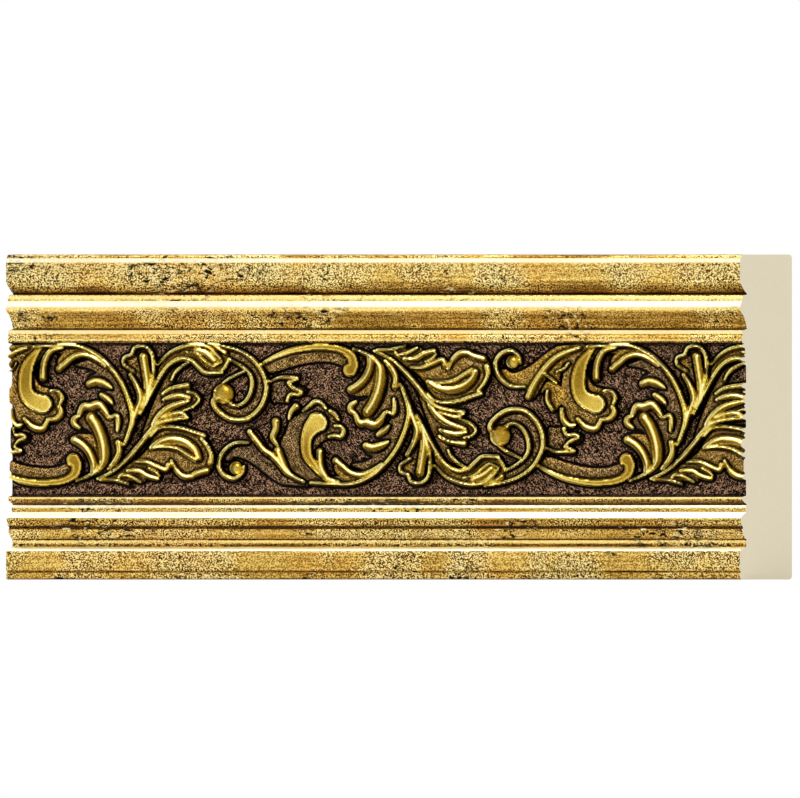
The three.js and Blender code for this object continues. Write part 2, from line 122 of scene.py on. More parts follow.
# Raised rods, rims and veins: [half width at start, middle and end, rise as a share, path], in steps
RIDGES = [
    # main arc with its hooks and lobes
    [1.6, 2.1, 1.6, 1.0, [[34, 68], [51, 69], [76, 69], [98, 59], [116, 40], [127, 19], [132, -3],
        [127, -23], [123, -30]]],
    [1.0, 2.9, 3.3, 0.9, [[62, 67], [51, 64], [45, 55], [43, 45], [43, 37]]],
    [3.0, 2.6, 1.3, 0.9, [[59, 46], [65, 51], [74, 58], [85, 60], [95, 56], [105, 49]]],
    [3.0, 3.8, 1.0, 0.6, [[89, 31], [96, 33], [104, 31], [111, 27]]],
    [1.8, 2.9, 1.0, 0.6, [[101, 20], [107, 16], [112, 11]]],
    # crowned leaf
    [2.0, 3.9, 1.6, 0.8, [[79, 1], [83, 8], [90, 8], [98, 10], [104, 5], [108, -2]]],
    [1.2, 2.8, 1.4, 0.7, [[79, -1], [74, -4], [74, -9], [79, -13]]],
    [1.4, 2.4, 1.2, 0.8, [[110, -3], [116, -1], [118, -7], [117, -16]]],
    [4.6, 4.8, 1.8, 1.0, [[91, -3], [97, -12], [102, -25], [104, -37], [103, -47], [97, -56]]],
    [2.6, 2.4, 1.2, 0.8, [[118, -28], [119, -37], [115, -46], [108, -54]]],
    [3.4, 3.3, 1.8, 0.8, [[74, -25], [82, -30], [89, -38], [93, -49], [92, -58]]],
    [2.2, 1.8, 0.9, 0.8, [[99, -54], [91, -60], [76, -66]]],
    # lower stem
    [6.0, 3.2, 1.2, 1.0, [[73, -45], [76, -50], [74, -59], [62, -66], [40, -68], [18, -65], [0, -59],
        [-15, -51]]],
    # finger leaf
    [1.2, 1.8, 1.2, 0.9, [[133, 44], [124, 50], [124, 57], [131, 60], [135, 67], [145, 68], [152, 60],
        [153, 42], [149, 26], [143, 11]]],
    [3.6, 3.3, 1.8, 0.9, [[143, 58], [145, 45], [147, 30], [146, 18], [142, 8]]],
    [1.6, 2.9, 1.2, 1.0, [[130, 40], [136, 30], [140, 17], [137, 6], [133, -5], [130, -15], [124, -30]]],
    # top leaf
    [1.6, 2.1, 1.8, 1.0, [[140, 1], [149, 18], [158, 35], [168, 49], [180, 56], [191, 54], [199, 47],
        [206, 42], [221, 42]]],
    [0.8, 2.0, 1.2, 0.9, [[157, 50], [168, 61], [180, 67], [194, 70], [207, 68], [216, 60], [221, 54]]],
    [0.8, 1.0, 0.9, 0.8, [[186, 63], [196, 61], [206, 53], [213, 49], [221, 53]]],
    [2.6, 4.0, 3.0, 0.9, [[196, 65], [206, 61], [214, 54]]],
    [1.0, 1.5, 0.8, 0.7, [[188, 52], [181, 48], [175, 42], [171, 35]]],
    # fan of veins
    [1.0, 1.8, 2.8, 0.8, [[162, 21], [170, 26], [178, 28], [187, 29]]],
    [0.9, 1.3, 0.9, 0.7, [[187, 23], [195, 21], [199, 15], [193, 8], [183, 4]]],
    [1.2, 2.7, 1.4, 0.8, [[163, 15], [172, 18], [181, 19], [189, 17]]],
    [1.3, 3.1, 1.4, 0.8, [[152, -10], [160, 0], [171, 8], [188, 14]]],
    [1.1, 2.2, 1.6, 0.8, [[162, -3], [170, 0], [180, 2], [186, -1]]],
    [1.0, 2.4, 1.6, 1.0, [[97, -64], [112, -57], [125, -46], [138, -32], [149, -18], [158, -9],
        [171, -5], [187, -3]]],
    # shell leaf
    [1.0, 1.9, 2.2, 0.9, [[150, -22], [158, -14], [170, -12], [183, -14], [195, -18], [204, -21]]],
    [1.2, 1.8, 2.6, 0.9, [[201, -24], [207, -31], [211, -40], [210, -48]]],
    [2.0, 4.4, 3.0, 0.9, [[151, -33], [161, -27], [173, -25], [185, -28], [194, -35], [198, -43]]],
    [1.0, 2.0, 1.8, 0.9, [[154, -33], [165, -32], [177, -34], [187, -40], [195, -45]]],
    [1.3, 2.3, 2.2, 0.7, [[134, -47], [145, -47], [155, -51], [165, -55], [168, -50]]],
    [1.3, 2.6, 3.2, 0.8, [[171, -46], [175, -54], [182, -61], [190, -62], [196, -59], [206, -56]]],
    [1.3, 2.5, 1.8, 0.7, [[127, -56], [138, -56], [147, -61], [157, -64]]],
    [0.7, 1.1, 0.7, 0.6, [[148, -53], [155, -56], [159, -61]]],
    [1.0, 1.6, 1.0, 0.6, [[118, -63], [122, -60], [131, -62], [140, -67]]],
    [1.0, 1.5, 1.0, 0.6, [[100, -65], [113, -65], [128, -69]]],
    # large scroll
    [1.2, 2.3, 2.2, 1.0, [[208, 71], [222, 69], [241, 63], [256, 52], [265, 36], [266, 22], [260, 7],
        [247, -4], [230, -4], [217, 5], [213, 13], [218, 17], [230, 12]]],
    [1.0, 2.0, 1.4, 0.9, [[228, 56], [241, 49], [250, 40], [252, 31], [250, 21], [245, 13], [238, 9],
        [231, 10]]],
    [0.9, 1.4, 0.9, 0.7, [[221, 30], [229, 36], [243, 43]]],
    [1.6, 1.6, 1.2, 0.8, [[221, 43], [225, 48], [229, 56]]],
    [1.0, 2.0, 2.8, 0.8, [[212, 70], [218, 66], [224, 62]]],
    # small leaf behind the scroll
    [0.7, 1.7, 1.4, 0.6, [[269, 33], [279, 37], [290, 37], [297, 36], [288, 32]]],
    [1.4, 1.7, 1.6, 0.6, [[288, 32], [293, 27], [301, 23], [298, 20], [290, 20], [287, 14]]],
    # small scroll and ribbon
    [1.4, 2.2, 1.4, 0.9, [[-29, 28], [-43, 29], [-54, 38], [-58, 50], [-53, 60], [-43, 64], [-35, 59],
        [-33, 52]]],
    # faint cut lines
    [0.6, 1.0, 0.6, 0.25, [[188, 26], [204, 33], [216, 38]]],
    [0.6, 1.0, 0.6, 0.25, [[202, 17], [212, 24]]],
    [0.6, 1.0, 0.6, 0.25, [[190, -3], [208, 7]]],
]

# The ribbon, bulb and lobes of the upright units
UPRIGHT_RIDGES = [
    [2.8, 2.8, 1.4, 0.8, [[-25, 18], [-20, 29], [-11, 43], [0, 55], [12, 62], [26, 67]]],
    [0.8, 1.2, 0.8, 0.7, [[-9, 41], [-3, 37], [3, 32]]],
    [1.2, 1.6, 1.6, 0.7, [[-6, 24], [-6, 14], [-1, 5]]],
    [0.8, 1.1, 0.8, 0.7, [[3, 43], [10, 46], [15, 52]]],
    [1.0, 7.0, 9.6, 1.0, [[40, 66], [34, 60], [28, 50], [25, 38], [25, 27], [28, 19], [34, 14],
        [42, 11]]],
    [1.4, 2.6, 1.4, 0.7, [[8, 6], [10, -5], [16, -11], [21, -10]]],
    [1.4, 2.8, 1.8, 0.7, [[24, -4], [32, -12], [42, -14], [47, -7]]],
    [1.4, 2.6, 1.8, 0.7, [[47, -5], [56, -4], [61, 2], [59, 8]]],
    [0.8, 1.9, 1.4, 0.7, [[50, 24], [58, 23], [62, 17], [60, 11]]],
]

# The same parts of the turned units, which are carved differently
TURNED_RIDGES = [
    [2.4, 2.6, 1.2, 0.8, [[-27, 17], [-21, 25], [-13, 35], [-6, 40], [2, 48], [9, 57], [17, 62],
        [27, 67]]],
    [1.5, 5.0, 10.4, 1.0, [[51, 66], [39, 53], [31, 42], [29, 32], [30, 22], [34, 14], [40, 8]]],
    [1.0, 2.1, 1.0, 0.7, [[26, -4], [33, -9], [38, -13], [44, -12], [49, -7]]],
    [1.2, 1.8, 1.0, 0.7, [[53, -4], [58, -1], [62, 5]]],
    [3.6, 2.8, 0.8, 0.7, [[-1, 7], [-1, 14], [-4, 23], [1, 31]]],
    [3.2, 2.2, 0.8, 0.7, [[19, -8], [15, -4], [12, 4]]],
    [3.4, 3.2, 1.0, 0.8, [[1, 36], [4, 44], [8, 53], [14, 60]]],
    [1.2, 2.2, 1.2, 0.7, [[58, 11], [64, 12], [67, 17], [64, 22], [58, 21], [52, 22]]],
]

# Leaf and ribbon grounds: [rise as a share, how much gold is left on it, closed outline in steps]
BODIES = [
    [0.55, 0.25, [[34, 66], [52, 67], [76, 68], [96, 59], [114, 40], [125, 19], [130, -3], [125, -25],
        [117, -38], [116, -20], [118, -6], [113, 4], [106, 13], [99, 20], [106, 24], [113, 24],
        [104, 31], [94, 31], [86, 31], [88, 38], [95, 42], [86, 47], [73, 50], [86, 56], [70, 60],
        [52, 62]]],
    [0.6, 1.0, [[57, 46], [56, 54], [61, 61], [74, 66], [88, 64], [86, 58], [73, 56], [64, 48]]],
    [0.45, 0.3, [[79, 6], [82, 13], [89, 10], [97, 13], [104, 8], [108, -2], [119, -1], [119, -14],
        [119, -30], [115, -44], [106, -56], [90, -62], [92, -56], [96, -40], [90, -28], [80, -22],
        [71, -21], [82, -19], [90, -19], [85, -14], [78, -13], [72, -7], [77, 0]]],
    [0.5, 0.85, [[71, -21], [82, -19], [92, -22], [97, -34], [99, -52], [92, -59], [93, -50], [88, -38],
        [80, -30]]],
    [0.45, 0.45, [[-15, -50], [-8, -42], [10, -47], [30, -52], [50, -53], [64, -49], [74, -44],
        [78, -52], [66, -64], [42, -67], [18, -64], [0, -58]]],
    [0.5, 0.2, [[124, 50], [124, 57], [131, 60], [136, 67], [146, 67], [152, 59], [153, 42], [148, 24],
        [141, 2], [134, -8], [126, -28], [132, -12], [140, 16], [134, 34], [128, 42]]],
    [0.55, 1.0, [[140, 0], [150, 28], [160, 53], [172, 64], [194, 71], [208, 69], [218, 60], [226, 60],
        [222, 42], [206, 41], [198, 47], [190, 55], [180, 56], [168, 49], [158, 34], [148, 14]]],
    [0.4, 0.45, [[138, -30], [150, 8], [162, 34], [170, 46], [176, 48], [172, 34], [166, 24], [186, 31],
        [189, 26], [196, 22], [200, 16], [194, 8], [182, 3], [188, -1], [186, -5], [168, -6],
        [154, -12]]],
    [0.45, 0.7, [[100, -66], [114, -58], [128, -48], [142, -38], [152, -22], [160, -14], [172, -11],
        [184, -12], [198, -18], [208, -30], [212, -44], [209, -56], [200, -61], [190, -63], [180, -60],
        [172, -50], [169, -50], [164, -56], [152, -52], [159, -60], [156, -66], [146, -64], [140, -68],
        [128, -66], [128, -71], [114, -67]]],
    [0.5, 0.35, [[204, 71], [222, 69], [241, 63], [256, 52], [265, 36], [266, 22], [260, 7], [247, -4],
        [230, -4], [217, 5], [213, 13], [222, 15], [231, 11], [240, 7], [250, 17], [251, 34], [241, 48],
        [228, 58], [216, 62]]],
    [0.3, 0.2, [[269, 33], [279, 38], [297, 39], [290, 32], [302, 27], [303, 20], [289, 17], [285, 12],
        [278, 13], [270, 14]]],
    [0.55, 1.0, [[150, -33], [161, -26], [173, -24], [185, -27], [195, -35], [199, -44], [190, -42],
        [178, -36], [165, -33]]],
    [0.55, 1.0, [[124, 50], [124, 57], [131, 60], [134, 57], [133, 52], [137, 46], [133, 42],
        [128, 43]]],
]

UPRIGHT_BODIES = [
    [0.55, 0.95, [[-56, 42], [-50, 34], [-42, 29], [-30, 28], [-28, 20], [-24, 15], [-18, 21], [-10, 35],
        [-8, 41], [4, 32], [6, 44], [14, 58], [34, 70], [8, 70], [-4, 65], [-22, 51], [-32, 45],
        [-42, 42], [-50, 46]]],
    [0.5, 0.95, [[-14, 22], [-8, 33], [3, 31], [9, 24], [8, 14], [-1, 3], [-7, 12], [-6, 25]]],
    [0.45, 0.6, [[26, 68], [12, 57], [8, 40], [6, 22], [8, 4], [12, -8], [19, -13], [23, -4], [30, -11],
        [40, -15], [48, -8], [56, -6], [62, 2], [59, 9], [63, 16], [60, 22], [50, 26], [38, 30],
        [32, 46], [44, 66]]],
]
TURNED_BODIES = [
    [0.55, 0.1, [[-56, 42], [-50, 34], [-42, 29], [-30, 28], [-28, 20], [-24, 15], [-18, 21], [-10, 35],
        [-8, 41], [4, 32], [6, 44], [14, 58], [34, 70], [8, 70], [-4, 65], [-22, 51], [-32, 45],
        [-42, 42], [-50, 46]]],
    [0.4, 0.3, [[36, 68], [20, 60], [6, 48], [2, 30], [8, 16], [12, 4], [20, 0], [26, -6], [38, -14],
        [50, -8], [60, 0], [60, 10], [68, 17], [64, 24], [50, 24], [40, 30], [34, 44], [44, 58]]],
]

# Round knobs: [along, up, radius, rise as a share, tone]
KNOBS = [[223, 21, 10.0, 1.0, 0.48], [-41, 53, 6.2, 0.8, 0.56]]

# Form of the carving, in steps or as shares. A leaf is cut by a groove of GAP_STEPS beside each ridge.
# Distances to a faint cut line count FAINT_WEIGHT times, which makes its groove narrower.
SPLINE_SAMPLES = 10
RIDGE_FULLNESS = 1.13
BROAD_STEPS = 6.5
BROAD_EDGE_STEPS = 2.2
BROAD_DISH = 0.16
BROAD_DISH_STEPS = 5
ROUNDNESS = 0.62
KNOB_ROUNDNESS = 0.75
FAINT_SHARE = 0.5
FAINT_WEIGHT = 2.2
GAP_STEPS = 3.4
GAP_START = -0.2
GAP_CUT = 0.75
BODY_EDGE_STEPS = 2.6
SNAP_SHARE = 0.42

# Form of the frieze, the rails and the back, in millimetres and degrees. WAVE_CELLS counts mesh cells.
WALL_TOP_DEPTH = 0.6
WALL_RUN = 0.4
LEAST_DEPTH = 0.02
LEAN_RUN = 4
RIDGE_GRAIN = 0.008
LEAF_GRAIN = 0.022
GROUND_GRAIN = 0.045
GROUND_WAVE = 0.05
WAVE_CELLS = 6
LONGEST_RUN = 1.2
TOP_FACE_START = 1.4
TOP_FACE_TONE = 0.5
BOTTOM_FACE_START = 1.2
BOTTOM_FACE_TONE = 0.3
BACK_ANGLES = (60, 30, 0)
SHARP_ANGLE = 50

# Values painted on the mesh for its material: the tone with its painted highlights and shade, how many
# steps past a ridge's edge and inside a leaf ground a point lies, the share of gilding kept, the painted
# shade, and whether it is on a rail or on the cream back. No distance from a ridge or leaf is counted
# beyond FAR.
ATTRIBUTES = ("tone", "edge", "depth", "kept", "shade", "rail", "cream")
FAR = 9.0
OUTLINE_STEPS = 3.2

# Tones of the ridges and knobs. Painted highlights add to them on crests, rims and the sides that face
# the light, over widths in steps.
LIT_SIDE = (-0.5, 0.87)
KNOB_LIT_SIDE = (-0.7, -0.7)
DARKEST_TONE = 0.3
GILDED_PAST = 1.2
CUT_LINE_PAST = 2.0
LOW_RIDGE_SHARE = 0.7
RIDGE_TONE = 0.43
CREST_GLOW = 0.76
CREST_WIDTH = 1.25
CREST_SHIFT = 0.45
SIDE_GLOW = 0.12
BROAD_TONE = 0.44
BROAD_END_GLOW = 0.24
BROAD_END_RATE = 1.8
BROAD_RIM_GLOW = 0.32
BROAD_RIM_INSIDE = 1.7
BROAD_RIM_WIDTH = 1.0
KNOB_GLOW = 0.18
KNOB_GLOW_RADII = 0.8
KNOB_RIM_GLOW = 0.3
KNOB_RIM_INSIDE = 1.5
KNOB_RIM_WIDTH = 1.2
KNOB_RIM_RADII = 1.6

# Gilding kept on the leaf grounds, with a painted highlight that keeps more along their rims, and how
# much painted shade darkens the ground beside the carving
LEAF_MIDDLE_SHARE = 0.7
LEAF_RIM_HIGHLIGHT_STEPS = 1.6
LEAF_RIM_HIGHLIGHT_WIDTH = 2.2
LEAF_SHADE = 0.6
LEAF_SHADE_STEPS = 8
RIDGE_SHADE = 0.35
RIDGE_SHADE_STEPS = 7
WALL_SHADE = 0.75
WALL_SHADE_RUN = 0.9

# Scales of the noises in the materials, in cells per metre, and how far some are drawn out
FINE_SCALE = 3100.0
HATCH_SCALE = 2600.0
HATCH_STRETCH = (1, 1, 4)
HATCH_TURN = 0.8
CROSS_TURN = -0.7
STREAK_SCALE = 1500.0
STREAK_STRETCH = (40, 1, 1)
FOAM_SCALE = 1500.0
FLAKE_SCALE = 850.0
FLAKE_STRETCH = (2.2, 1, 1)
BREAK_SCALE = 500.0
CRACK_SCALE = 420.0
CRACK_STRETCH = (1.8, 1, 1)
WORN_SCALE = 60.0
WORN_STRETCH = (2, 1, 1)
PATCH_SCALE = 45.0
WARM_SCALE = 35.0
WIDE_SCALE = 22.0

# Ramps from a noise to a level: (place, level). FINE_RANGE is stretched to run from 0 to 1.
ROUGH_LEVELS = [(0.42, 0.3), (0.6, 1.0)]
WARM_LEVELS = [(0.45, 0.0), (0.6, 1.0)]
WORN_LEVELS = [(0.53, 0.0), (0.57, 1.0)]
CHIP_LEVELS = [(0.6, 0.0), (0.63, 1.0)]
SPARK_LEVELS = [(0.36, 1.0), (0.39, 0.0)]
CRACK_LEVELS = [(0.016, 1.0), (0.034, 0.0)]
BREAK_LEVELS = [(0.46, 0.0), (0.5, 1.0)]
CROSS_LEVELS = [(0.45, 0.0), (0.55, 1.0)]
FINE_RANGE = (0.42, 0.58)

# How much speckle and chips a tone takes, (tone, share), and how strong these and other effects are
WORKABLE_LEVELS = [(0.05, 0.4), (0.3, 1.0), (0.66, 1.0), (0.86, 0.2)]
PALE_LIMIT = 0.84
RAIL_SPECKLE = 1.0
RAIL_STREAKS = 0.5
RAIL_DRIFT = 0.12
WARMTH = 0.35
SPARK_SHARE = 0.5
CREST_SPECKLE = 0.1
GROUND_SPECKLE = 0.6
GROUND_HATCHING = 0.8
LEAF_PATCHES = 0.7
KEPT_OUTLINE_LOSS = 0.35
FOOT_START = 0.6
GILT_EDGE = 0.3
LEAF_ROUGHNESS = 0.62
BURNISH = 0.26
BUMP_STRENGTH = 0.3
BUMP_DISTANCE = 0.0001
FOAM_ROUGHNESS = 0.75
FOAM_TONE = 0.5

# Colours as 8-bit values, those of a ramp with their places on it
RAIL_GOLD = [
    (0.0, (12, 4, 0)), (0.12, (52, 26, 0)), (0.3, (122, 84, 16)), (0.4, (160, 122, 44)),
    (0.5, (194, 153, 66)), (0.62, (226, 188, 96)), (0.78, (248, 222, 132)), (0.84, (250, 230, 158)),
    (0.92, (250, 239, 200)), (1.0, (255, 252, 234)),
]
CREST_GOLD = [
    (0.0, (26, 10, 0)), (0.25, (84, 58, 4)), (0.5, (160, 126, 34)), (0.75, (230, 199, 86)),
    (1.0, (255, 248, 170)),
]
LEAF_GOLD = [(0.1, (84, 54, 2)), (0.42, (142, 104, 24)), (0.62, (178, 138, 42)), (1.0, (236, 200, 98))]
LEAF_UMBER = [(0.15, (10, 2, 0)), (0.42, (36, 21, 13)), (0.62, (80, 56, 38)), (0.95, (202, 170, 130))]
GROUND_UMBER = [(0.2, (3, 0, 0)), (0.48, (8, 3, 0)), (0.64, (60, 38, 24)), (0.88, (182, 144, 112))]
# OUTLINE is the black round the carving: patina in its grooves together with painted shade
OUTLINE = (6, 2, 0)
CHIP = (12, 8, 3)
SPARK = (255, 244, 190)
WARM_TINT = (255, 226, 190)
CREAM_EDGE = (222, 212, 185)
CREAM_CORE = [(0.3, (220, 210, 183)), (0.7, (223, 213, 187))]


def catmull(points, closed=False):
    """A smooth curve through the points."""
    points = np.array(points, float)
    if closed:
        padded = np.vstack([points[-1:], points, points[:2]])
    else:
        padded = np.vstack([points[:1], points, points[-1:]])
    t = np.linspace(0, 1, SPLINE_SAMPLES, endpoint=False)[:, None]
    spans = []
    for a, b, c, d in zip(padded, padded[1:], padded[2:], padded[3:]):
        square = (2 * a - 5 * b + 4 * c - d) * t**2
        cube = (3 * b - a - 3 * c + d) * t**3
        spans.append(0.5 * (2 * b + (c - a) * t + square + cube))
    if not closed:
        spans.append(points[-1:])
    return np.vstack(spans)


def swell(start, middle, end, at):
    """A half width that runs from one value through another to a third."""
    side = np.where(at < 0.5, start, end)
    return side + (middle - side) * np.sin(np.pi * at)


def ease(value):
    """A smooth rise from 0 to 1 while the value does so."""
    value = np.clip(value, 0, 1)
    return value * value * (3 - 2 * value)


def peak(distance, width):
    """A soft peak of 1 that falls away over a width."""
    return np.exp(-((distance / width) ** 2))


def nearest(x, y, line, closed=False):
    """Distance from each point to a polyline, the place along it (0 to 1) and the vector to it."""
    if closed:
        line = np.vstack([line, line[:1]])
    start, run = line[:-1], np.diff(line, axis=0)
    square = np.maximum((run**2).sum(1), 1e-9)
    best = np.full(x.shape, np.inf)
    place = np.zeros(x.shape)
    to_x = np.zeros(x.shape)
    to_y = np.zeros(x.shape)
    count = len(start)
    for i in range(count):
        dx, dy = x - start[i, 0], y - start[i, 1]
        t = np.clip((dx * run[i, 0] + dy * run[i, 1]) / square[i], 0, 1)
        ex, ey = t * run[i, 0] - dx, t * run[i, 1] - dy
        distance = ex * ex + ey * ey
        closer = distance < best
        best = np.where(closer, distance, best)
        place = np.where(closer, (i + t) / count, place)
        to_x = np.where(closer, ex, to_x)
        to_y = np.where(closer, ey, to_y)
    return np.sqrt(best), place, to_x, to_y


def inside(x, y, line):
    """Whether each point lies within a closed polyline."""
    result = np.zeros(x.shape, bool)
    for (ax, ay), (bx, by) in zip(line, np.roll(line, -1, axis=0)):
        if ay == by:
            continue
        crosses = (ay > y) != (by > y)
        result ^= crosses & (x < (bx - ax) * (y - ay) / (by - ay) + ax)
    return result


def window(x, y, line, reach):
    """Rows and columns of a grid that lie within reach of a line."""
    low, high = line.min(0) - reach, line.max(0) + reach
    mask = (x >= low[0]) & (x <= high[0]) & (y >= low[1]) & (y <= high[1])
    if not mask.any():
        return None
    rows = np.flatnonzero(mask.any(1))
    columns = np.flatnonzero(mask.any(0))
    return slice(rows[0], rows[-1] + 1), slice(columns[0], columns[-1] + 1)


def ridge_profile(distance, half, share, widest):
    """Height of a ridge over the ground, in millimetres, at a distance from its middle."""
    crest = share * np.sqrt(half / widest) * CARVING_RISE
    across = np.clip(distance / half, 0, 1)
    if widest < BROAD_STEPS:
        return crest * (1 - across**2) ** ROUNDNESS
    from_foot = (1 - across) * half
    edge = np.clip(from_foot / BROAD_EDGE_STEPS, 0, 1)
    dish = BROAD_DISH * ease(from_foot / BROAD_DISH_STEPS)
    return crest * (np.sqrt(edge * (2 - edge)) - dish)


def ridge_tone(distance, half, facing):
    """Tone across a rounded ridge, with a painted highlight a little to the lit side of its middle."""
    offset = distance - CREST_SHIFT * facing * half
    return RIDGE_TONE + CREST_GLOW * peak(offset, CREST_WIDTH) + SIDE_GLOW * facing


def broad_tone(past, place):
    """Tone of a broad ridge, with painted highlights towards its end and along its rim."""
    rim = BROAD_RIM_GLOW * peak(past + BROAD_RIM_INSIDE, BROAD_RIM_WIDTH)
    return BROAD_TONE + BROAD_END_GLOW * ease(1 - (1 - place) * BROAD_END_RATE) + rim


def knob_tone(tone, past, from_side):
    """Tone of a knob, with a painted highlight at the side that faces the light. The distance from that
    side is in radii.
    """
    rim = KNOB_RIM_GLOW * peak(past + KNOB_RIM_INSIDE, KNOB_RIM_WIDTH) * ease(KNOB_RIM_RADII - from_side)
    return tone + rim + KNOB_GLOW * peak(from_side, KNOB_GLOW_RADII)


class Carving:
    """The frieze's ornament, evaluated at points given in steps."""

    def __init__(self):
        self.ridges = []
        self.bodies = []
        self.knobs = []
        reach = LENGTH / (UNIT_STEPS * STEP)
        for unit in range(-1, math.ceil(reach) + 1):
            self.add_unit(unit)

    def add_unit(self, unit):
        """Adds the parts of one unit. Every second unit is turned over about the ornament's axis."""
        turned = unit % 2 == 1

        def placed(points):
            points = np.array(points, float)
            return points * (1, -1 if turned else 1) + (unit * UNIT_STEPS, 0)

        for *widths, share, path in RIDGES + (TURNED_RIDGES if turned else UPRIGHT_RIDGES):
            fullness = 1 if max(widths) > BROAD_STEPS else RIDGE_FULLNESS
            self.ridges.append((catmull(placed(path)), [width * fullness for width in widths], share))
        for share, kept, outline in BODIES + (TURNED_BODIES if turned else UPRIGHT_BODIES):
            self.bodies.append((catmull(placed(outline), closed=True), share, kept))
        for along, up, radius, share, tone in KNOBS:
            self.knobs.append((placed([along, up]), radius, share, tone))

    def snapped(self, x, y, cell):
        """The grid with its points near a crest or a foot moved onto it."""
        best = np.full(x.shape, SNAP_SHARE * cell)
        move_x = np.zeros(x.shape)
        move_y = np.zeros(x.shape)
        for line, widths, _ in self.ridges:
            area = window(x, y, line, max(widths) + cell)
            if area is None:
                continue
            distance, place, to_x, to_y = nearest(x[area], y[area], line)
            for target in (0, swell(*widths, place)):
                gap = distance - target
                scale = gap / np.maximum(distance, 1e-6)
                closer = np.abs(gap) < best[area]
                best[area] = np.where(closer, np.abs(gap), best[area])
                move_x[area] = np.where(closer, to_x * scale, move_x[area])
                move_y[area] = np.where(closer, to_y * scale, move_y[area])
        move_x[:, [0, -1]] = 0
        move_x[[0, -1]] = 0
        move_y[[0, -1]] = 0
        return x + move_x, y + move_y

    def relief(self, x, y):
        """Height of the highest ridge or knob, and the distance past the nearest edge of one."""
        height = np.zeros(x.shape)
        edge = np.full(x.shape, np.inf)
        for line, widths, share in self.ridges:
            area = window(x, y, line, max(widths) + 2 * GAP_STEPS)
            if area is None:
                continue
            distance, place, _, _ = nearest(x[area], y[area], line)
            half = swell(*widths, place)
            weight = FAINT_WEIGHT if share < FAINT_SHARE else 1
            height[area] = np.maximum(height[area], ridge_profile(distance, half, share, max(widths)))
            edge[area] = np.minimum(edge[area], (distance - half) * weight)
        for centre, radius, share, _ in self.knobs:
            distance = np.hypot(x - centre[0], y - centre[1])
            across = np.clip(distance / radius, 0, 1)
            height = np.maximum(height, share * CARVING_RISE * (1 - across**2) ** KNOB_ROUNDNESS)
            edge = np.minimum(edge, distance - radius)
        return height, edge

    def gilding(self, x, y):
        """Distance past the nearest edge of a ridge or knob, and the tone of the gold there with its
        painted highlights.
        """
        edge = np.full(x.shape, FAR)
        tone = np.full(x.shape, DARKEST_TONE)
        for line, widths, share in self.ridges:
            area = window(x, y, line, max(widths) + FAR)
            if area is None:
                continue
            distance, place, to_x, to_y = nearest(x[area], y[area], line)
            half = swell(*widths, place)
            past = distance - half
            if max(widths) < BROAD_STEPS:
                # how far a point lies towards the side that faces the light, where the painted highlight
                # leans
                facing = (to_x * LIT_SIDE[0] + to_y * LIT_SIDE[1]) / -np.maximum(distance, 1e-6)
                bright = ridge_tone(distance, half, facing)
            else:
                bright = broad_tone(past, place)
            if share < FAINT_SHARE:
                past = distance + CUT_LINE_PAST
            bright = bright * (LOW_RIDGE_SHARE + (1 - LOW_RIDGE_SHARE) * share)
            edge[area] = np.minimum(edge[area], past)
            tone[area] = np.maximum(tone[area], np.where(past < GILDED_PAST, bright, 0))
        for centre, radius, _, base in self.knobs:
            dx, dy = x - centre[0], y - centre[1]
            past = np.hypot(dx, dy) - radius
            # distance from the knob's lit side, where its painted highlight lies
            from_side = np.hypot(dx / radius - KNOB_LIT_SIDE[0], dy / radius - KNOB_LIT_SIDE[1])
            edge = np.minimum(edge, past)
            tone = np.where(past < GILDED_PAST, knob_tone(base, past, from_side), tone)
        return edge, tone

    def leaves(self, x, y):
        """Height of leaf grounds, depth inside one, and the gilding kept, raised along rims as a painted
        highlight.
        """
        height = np.zeros(x.shape)
        depth = np.full(x.shape, -FAR)
        kept = np.zeros(x.shape)
        for line, share, left in self.bodies:
            area = window(x, y, line, 2 * OUTLINE_STEPS)
            if area is None:
                continue
            within = inside(x[area], y[area], line)
            distance, _, _, _ = nearest(x[area], y[area], line, closed=True)
            distance = np.where(within, distance, -distance)
            edge = np.clip(distance / BODY_EDGE_STEPS, 0, 1)
            height[area] = np.maximum(height[area], share * CARVING_RISE * np.sqrt(edge * (2 - edge)))
            depth[area] = np.maximum(depth[area], distance)
            kept[area] = np.maximum(kept[area], left * within)
        # painted highlight: more gold kept along each leaf's rim and less in its middle, standing for
        # light and shade on the lobes
        rim = (1 - LEAF_MIDDLE_SHARE) * peak(depth - LEAF_RIM_HIGHLIGHT_STEPS, LEAF_RIM_HIGHLIGHT_WIDTH)
        return height, depth, kept * (LEAF_MIDDLE_SHARE + rim)


def smooth_noise(random, shape, size):
    """Noise from -1 to 1 that changes over about size cells."""
    rows, columns = shape
    coarse = random.uniform(-1, 1, (rows // size + 3, columns // size + 3))
    row = np.arange(rows) / size
    column = np.arange(columns) / size
    i, j = row.astype(int), column.astype(int)
    u, v = ease(row - i)[:, None], ease(column - j)[None, :]
    a, b = coarse[i][:, j], coarse[i][:, j + 1]
    c, d = coarse[i + 1][:, j], coarse[i + 1][:, j + 1]
    return (a * (1 - v) + b * v) * (1 - u) + (c * (1 - v) + d * v) * u


def shade_of(edge, depth, kept, from_wall):
    """How dark the ground is, by its distances from a ridge, into a leaf and from the frieze's wall."""
    leaf = LEAF_SHADE * (depth > 0) * (1 - kept) * ease(1 - edge / LEAF_SHADE_STEPS)
    ridge = RIDGE_SHADE * ease(1 - edge / RIDGE_SHADE_STEPS)
    by_wall = (from_wall < WALL_RUN) | (from_wall < WALL_SHADE_RUN) & (edge > 0)
    return np.maximum(np.maximum(leaf, ridge), np.where(by_wall, WALL_SHADE, 0))


